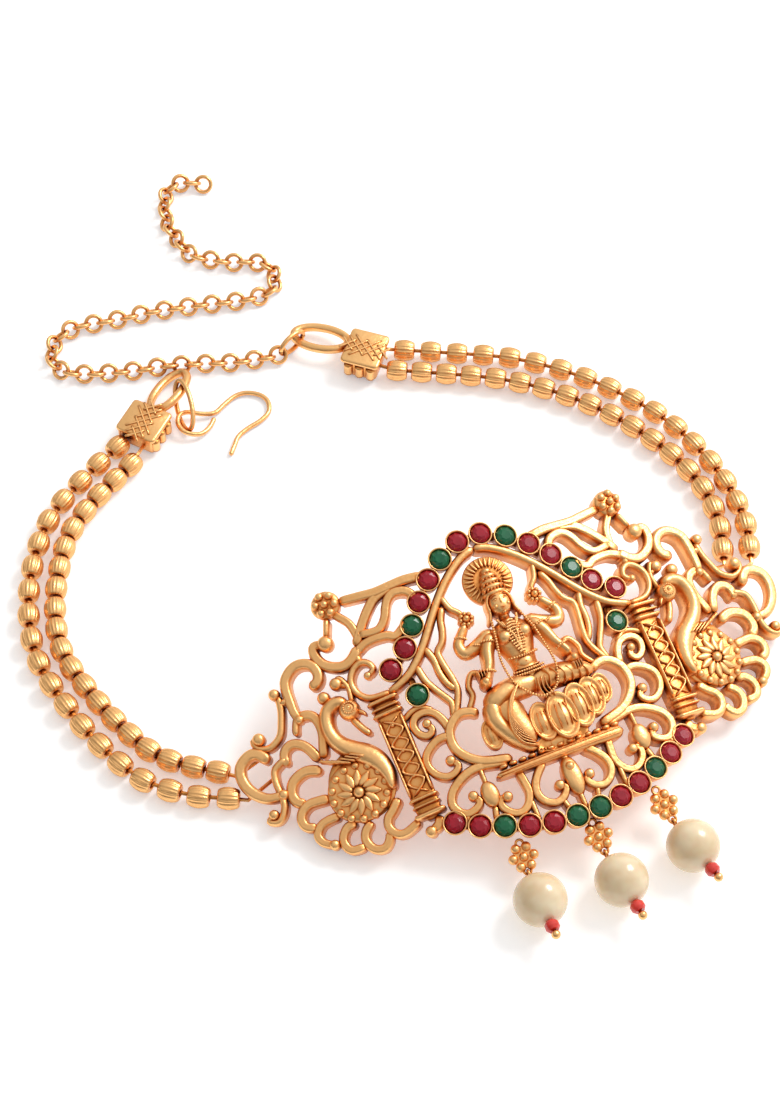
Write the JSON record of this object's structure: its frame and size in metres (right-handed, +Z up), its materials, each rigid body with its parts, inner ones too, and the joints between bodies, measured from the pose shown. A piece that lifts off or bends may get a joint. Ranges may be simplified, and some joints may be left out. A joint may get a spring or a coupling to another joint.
{
  "type": "armlet",
  "caption": "Jewelled armlet lying open: a pierced gold plate with a seated figure and peacocks, pearl drops, paired bead strands, a hook and an adjusting chain.",
  "frame": {"origin": "on the surface that the armlet lies on, under the middle of its bounding box", "axes": "+Z up from the surface; +Y from the drops across the plate to the hook and chain; +X to the plate's right as worn upright and seen from the front"},
  "size_m": [0.1164, 0.1616, 0.0204],
  "materials": {
    "gold": "matte antique gold, darker in the recesses",
    "ruby": "polished crimson cut stone",
    "emerald": "polished deep green cut stone",
    "pearl": "cream pearl with a soft lustre",
    "coral": "translucent coral red bead"
  },
  "bodies": {
    "root": {"casting": "gold", "stone_arch_l1": "ruby", "stone_arch_l2": "ruby", "stone_arch_l3": "emerald", "stone_arch_l4": "ruby", "stone_arch_l5": "ruby", "stone_arch_l6": "emerald", "stone_arch_l7": "ruby", "stone_arch_r1": "ruby", "stone_arch_r2": "ruby", "stone_arch_r3": "emerald", "stone_arch_r4": "ruby", "stone_arch_r5": "ruby", "stone_arch_r6": "emerald", "stone_arch_r7": "ruby", "stone_side_l": "emerald", "stone_side_r": "emerald", "stone_low_l1": "ruby", "stone_low_l2": "ruby", "stone_low_l3": "emerald", "stone_low_l4": "ruby", "stone_low_l5": "ruby", "stone_low_l6": "emerald", "stone_low_r1": "ruby", "stone_low_r2": "ruby", "stone_low_r3": "emerald", "stone_low_r4": "ruby", "stone_low_r5": "ruby", "stone_low_r6": "emerald", "cluster_l": "gold", "cluster_m": "gold", "cluster_r": "gold", "pin_l": "gold", "pin_m": "gold", "pin_r": "gold", "pearl_l": "pearl", "pearl_m": "pearl", "pearl_r": "pearl", "red_bead_l": "coral", "red_bead_m": "coral", "red_bead_r": "coral", "beads_left_outer": "gold", "beads_left_inner": "gold", "beads_right_outer": "gold", "beads_right_inner": "gold", "thread_left_outer": "gold", "thread_left_inner": "gold", "thread_right_outer": "gold", "thread_right_inner": "gold", "end_cap_left": "gold", "end_cap_right": "gold", "hook_ring": "gold", "hook": "gold", "chain_ring": "gold", "chain": "gold"}
  },
  "joints": []
}
